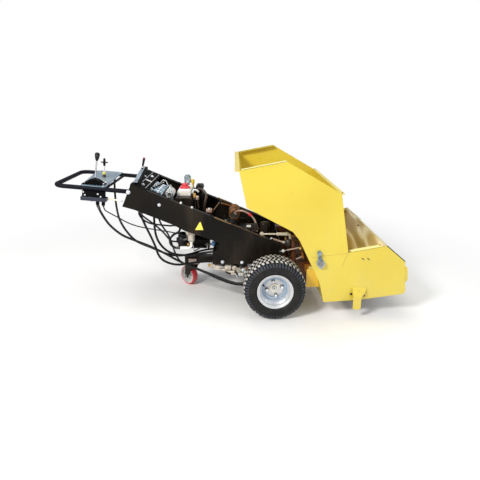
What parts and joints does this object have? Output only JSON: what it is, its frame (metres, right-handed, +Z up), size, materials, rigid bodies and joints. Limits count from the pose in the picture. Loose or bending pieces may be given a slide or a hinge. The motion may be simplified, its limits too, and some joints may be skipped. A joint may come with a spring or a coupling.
{
  "type": "small walk-behind wheeled asphalt paver",
  "caption": "Walk-behind asphalt paver: black frame with engine, hoses and U handlebar, yellow hopper with auger and screed box, driven wheels and a red castor.",
  "frame": {"origin": "on the ground under the middle of the machine", "axes": "+X from the handlebar towards the screed box, +Y to the machine's left as seen from its handlebar, +Z up"},
  "size_m": [2.345, 1.14, 1.0576],
  "materials": {
    "frame_black": "glossy black paint on steel",
    "hopper_yellow": "glossy yellow paint on steel sheet",
    "worn_chute": "yellow paint worn to the steel, streaky",
    "blue_plate": "pale blue-grey paint",
    "zinc_steel": "zinc plated, mottled",
    "worn_steel": "bare steel, worn bright and rusty in places",
    "chrome_steel": "bright plated steel",
    "pump_alloy": "cast aluminium, matt",
    "engine_iron": "dark painted casting",
    "hot_steel": "heat tinted and slightly rusty",
    "black_plastic": "moulded, matt",
    "white_plastic": "translucent tank plastic",
    "red_plastic": "moulded cap",
    "yellow_plastic": "moulded cap",
    "grey_plastic": "moulded core",
    "castor_red": "cast polyurethane",
    "tyre_rubber": "dusty tyre rubber",
    "rim_silver": "silver paint, dull",
    "hose_rubber": "smooth hose cover"
  },
  "bodies": {
    "frame": {"side_plates": "frame_black", "frame_floor_sheets": "frame_black", "frame_walls": "frame_black", "axle_beam": "frame_black", "castor_beam": "frame_black", "wheel_motors": "pump_alloy", "castor_mount": "frame_black", "handlebar": "frame_black", "control_box": "frame_black", "lever_quadrant": "black_plastic", "drive_lever": "black_plastic", "control_shelf": "blue_plate", "feed_lever": "black_plastic", "dash_console": "frame_black", "dash_strip": "zinc_steel", "throttle_lever": "black_plastic", "valve_block": "pump_alloy", "gear_pump": "pump_alloy", "oil_tank": "frame_black", "fuel_tank": "white_plastic", "tank_cap": "red_plastic", "filter_head": "pump_alloy", "filler_cap": "yellow_plastic", "air_cleaner": "black_plastic", "engine_block": "engine_iron", "muffler": "hot_steel", "spin_filter": "frame_black", "hydraulic_pipe": "chrome_steel", "drive_pump": "pump_alloy", "oil_cooler": "frame_black", "return_filter": "pump_alloy", "suction_elbow": "white_plastic", "hopper_arms": "frame_black", "hopper_sides": "hopper_yellow", "hopper_rear_wall": "hopper_yellow", "hopper_front_wall": "hopper_yellow", "feed_chute": "worn_chute", "screed_cover": "hopper_yellow", "screed_plate": "worn_steel", "end_channel": "hopper_yellow", "rear_gussets": "hopper_yellow", "box_feet": "hopper_yellow", "auger_bearings": "pump_alloy", "hose_right": "hose_rubber", "hose_left": "hose_rubber", "control_cable": "hose_rubber", "hose_valve": "hose_rubber", "hose_pump": "hose_rubber", "hose_loop": "hose_rubber"},
    "wheel_right": {"tyre_right": "tyre_rubber", "rim_right": "rim_silver", "hub_right": "worn_steel"},
    "wheel_left": {"tyre_left": "tyre_rubber", "rim_left": "rim_silver", "hub_left": "worn_steel"},
    "castor_swivel": {"castor_fork": "frame_black"},
    "castor_wheel": {"castor_tyre": "castor_red", "castor_core": "grey_plastic"},
    "auger_shaft": {"auger": "worn_steel"}
  },
  "joints": [
    {"name": "wheel_right_turn", "type": "hinge", "parent": "frame", "child": "wheel_right", "pos_m": [0.29835, -0.475, 0.203], "axis": [0, 1, 0], "continuous": true},
    {"name": "wheel_left_turn", "type": "hinge", "parent": "frame", "child": "wheel_left", "pos_m": [0.29835, 0.475, 0.203], "axis": [0, 1, 0], "continuous": true},
    {"name": "castor_swivel_turn", "type": "hinge", "parent": "frame", "child": "castor_swivel", "pos_m": [-0.28165, 0, 0.178], "axis": [0, 0, 1], "continuous": true},
    {"name": "castor_wheel_turn", "type": "hinge", "parent": "castor_swivel", "child": "castor_wheel", "pos_m": [-0.31822, 0.0341, 0.075], "axis": [0.682, 0.7314, 0], "continuous": true},
    {"name": "auger_turn", "type": "hinge", "parent": "frame", "child": "auger_shaft", "pos_m": [0.59035, 0, 0.38], "axis": [0, 1, 0], "continuous": true}
  ]
}
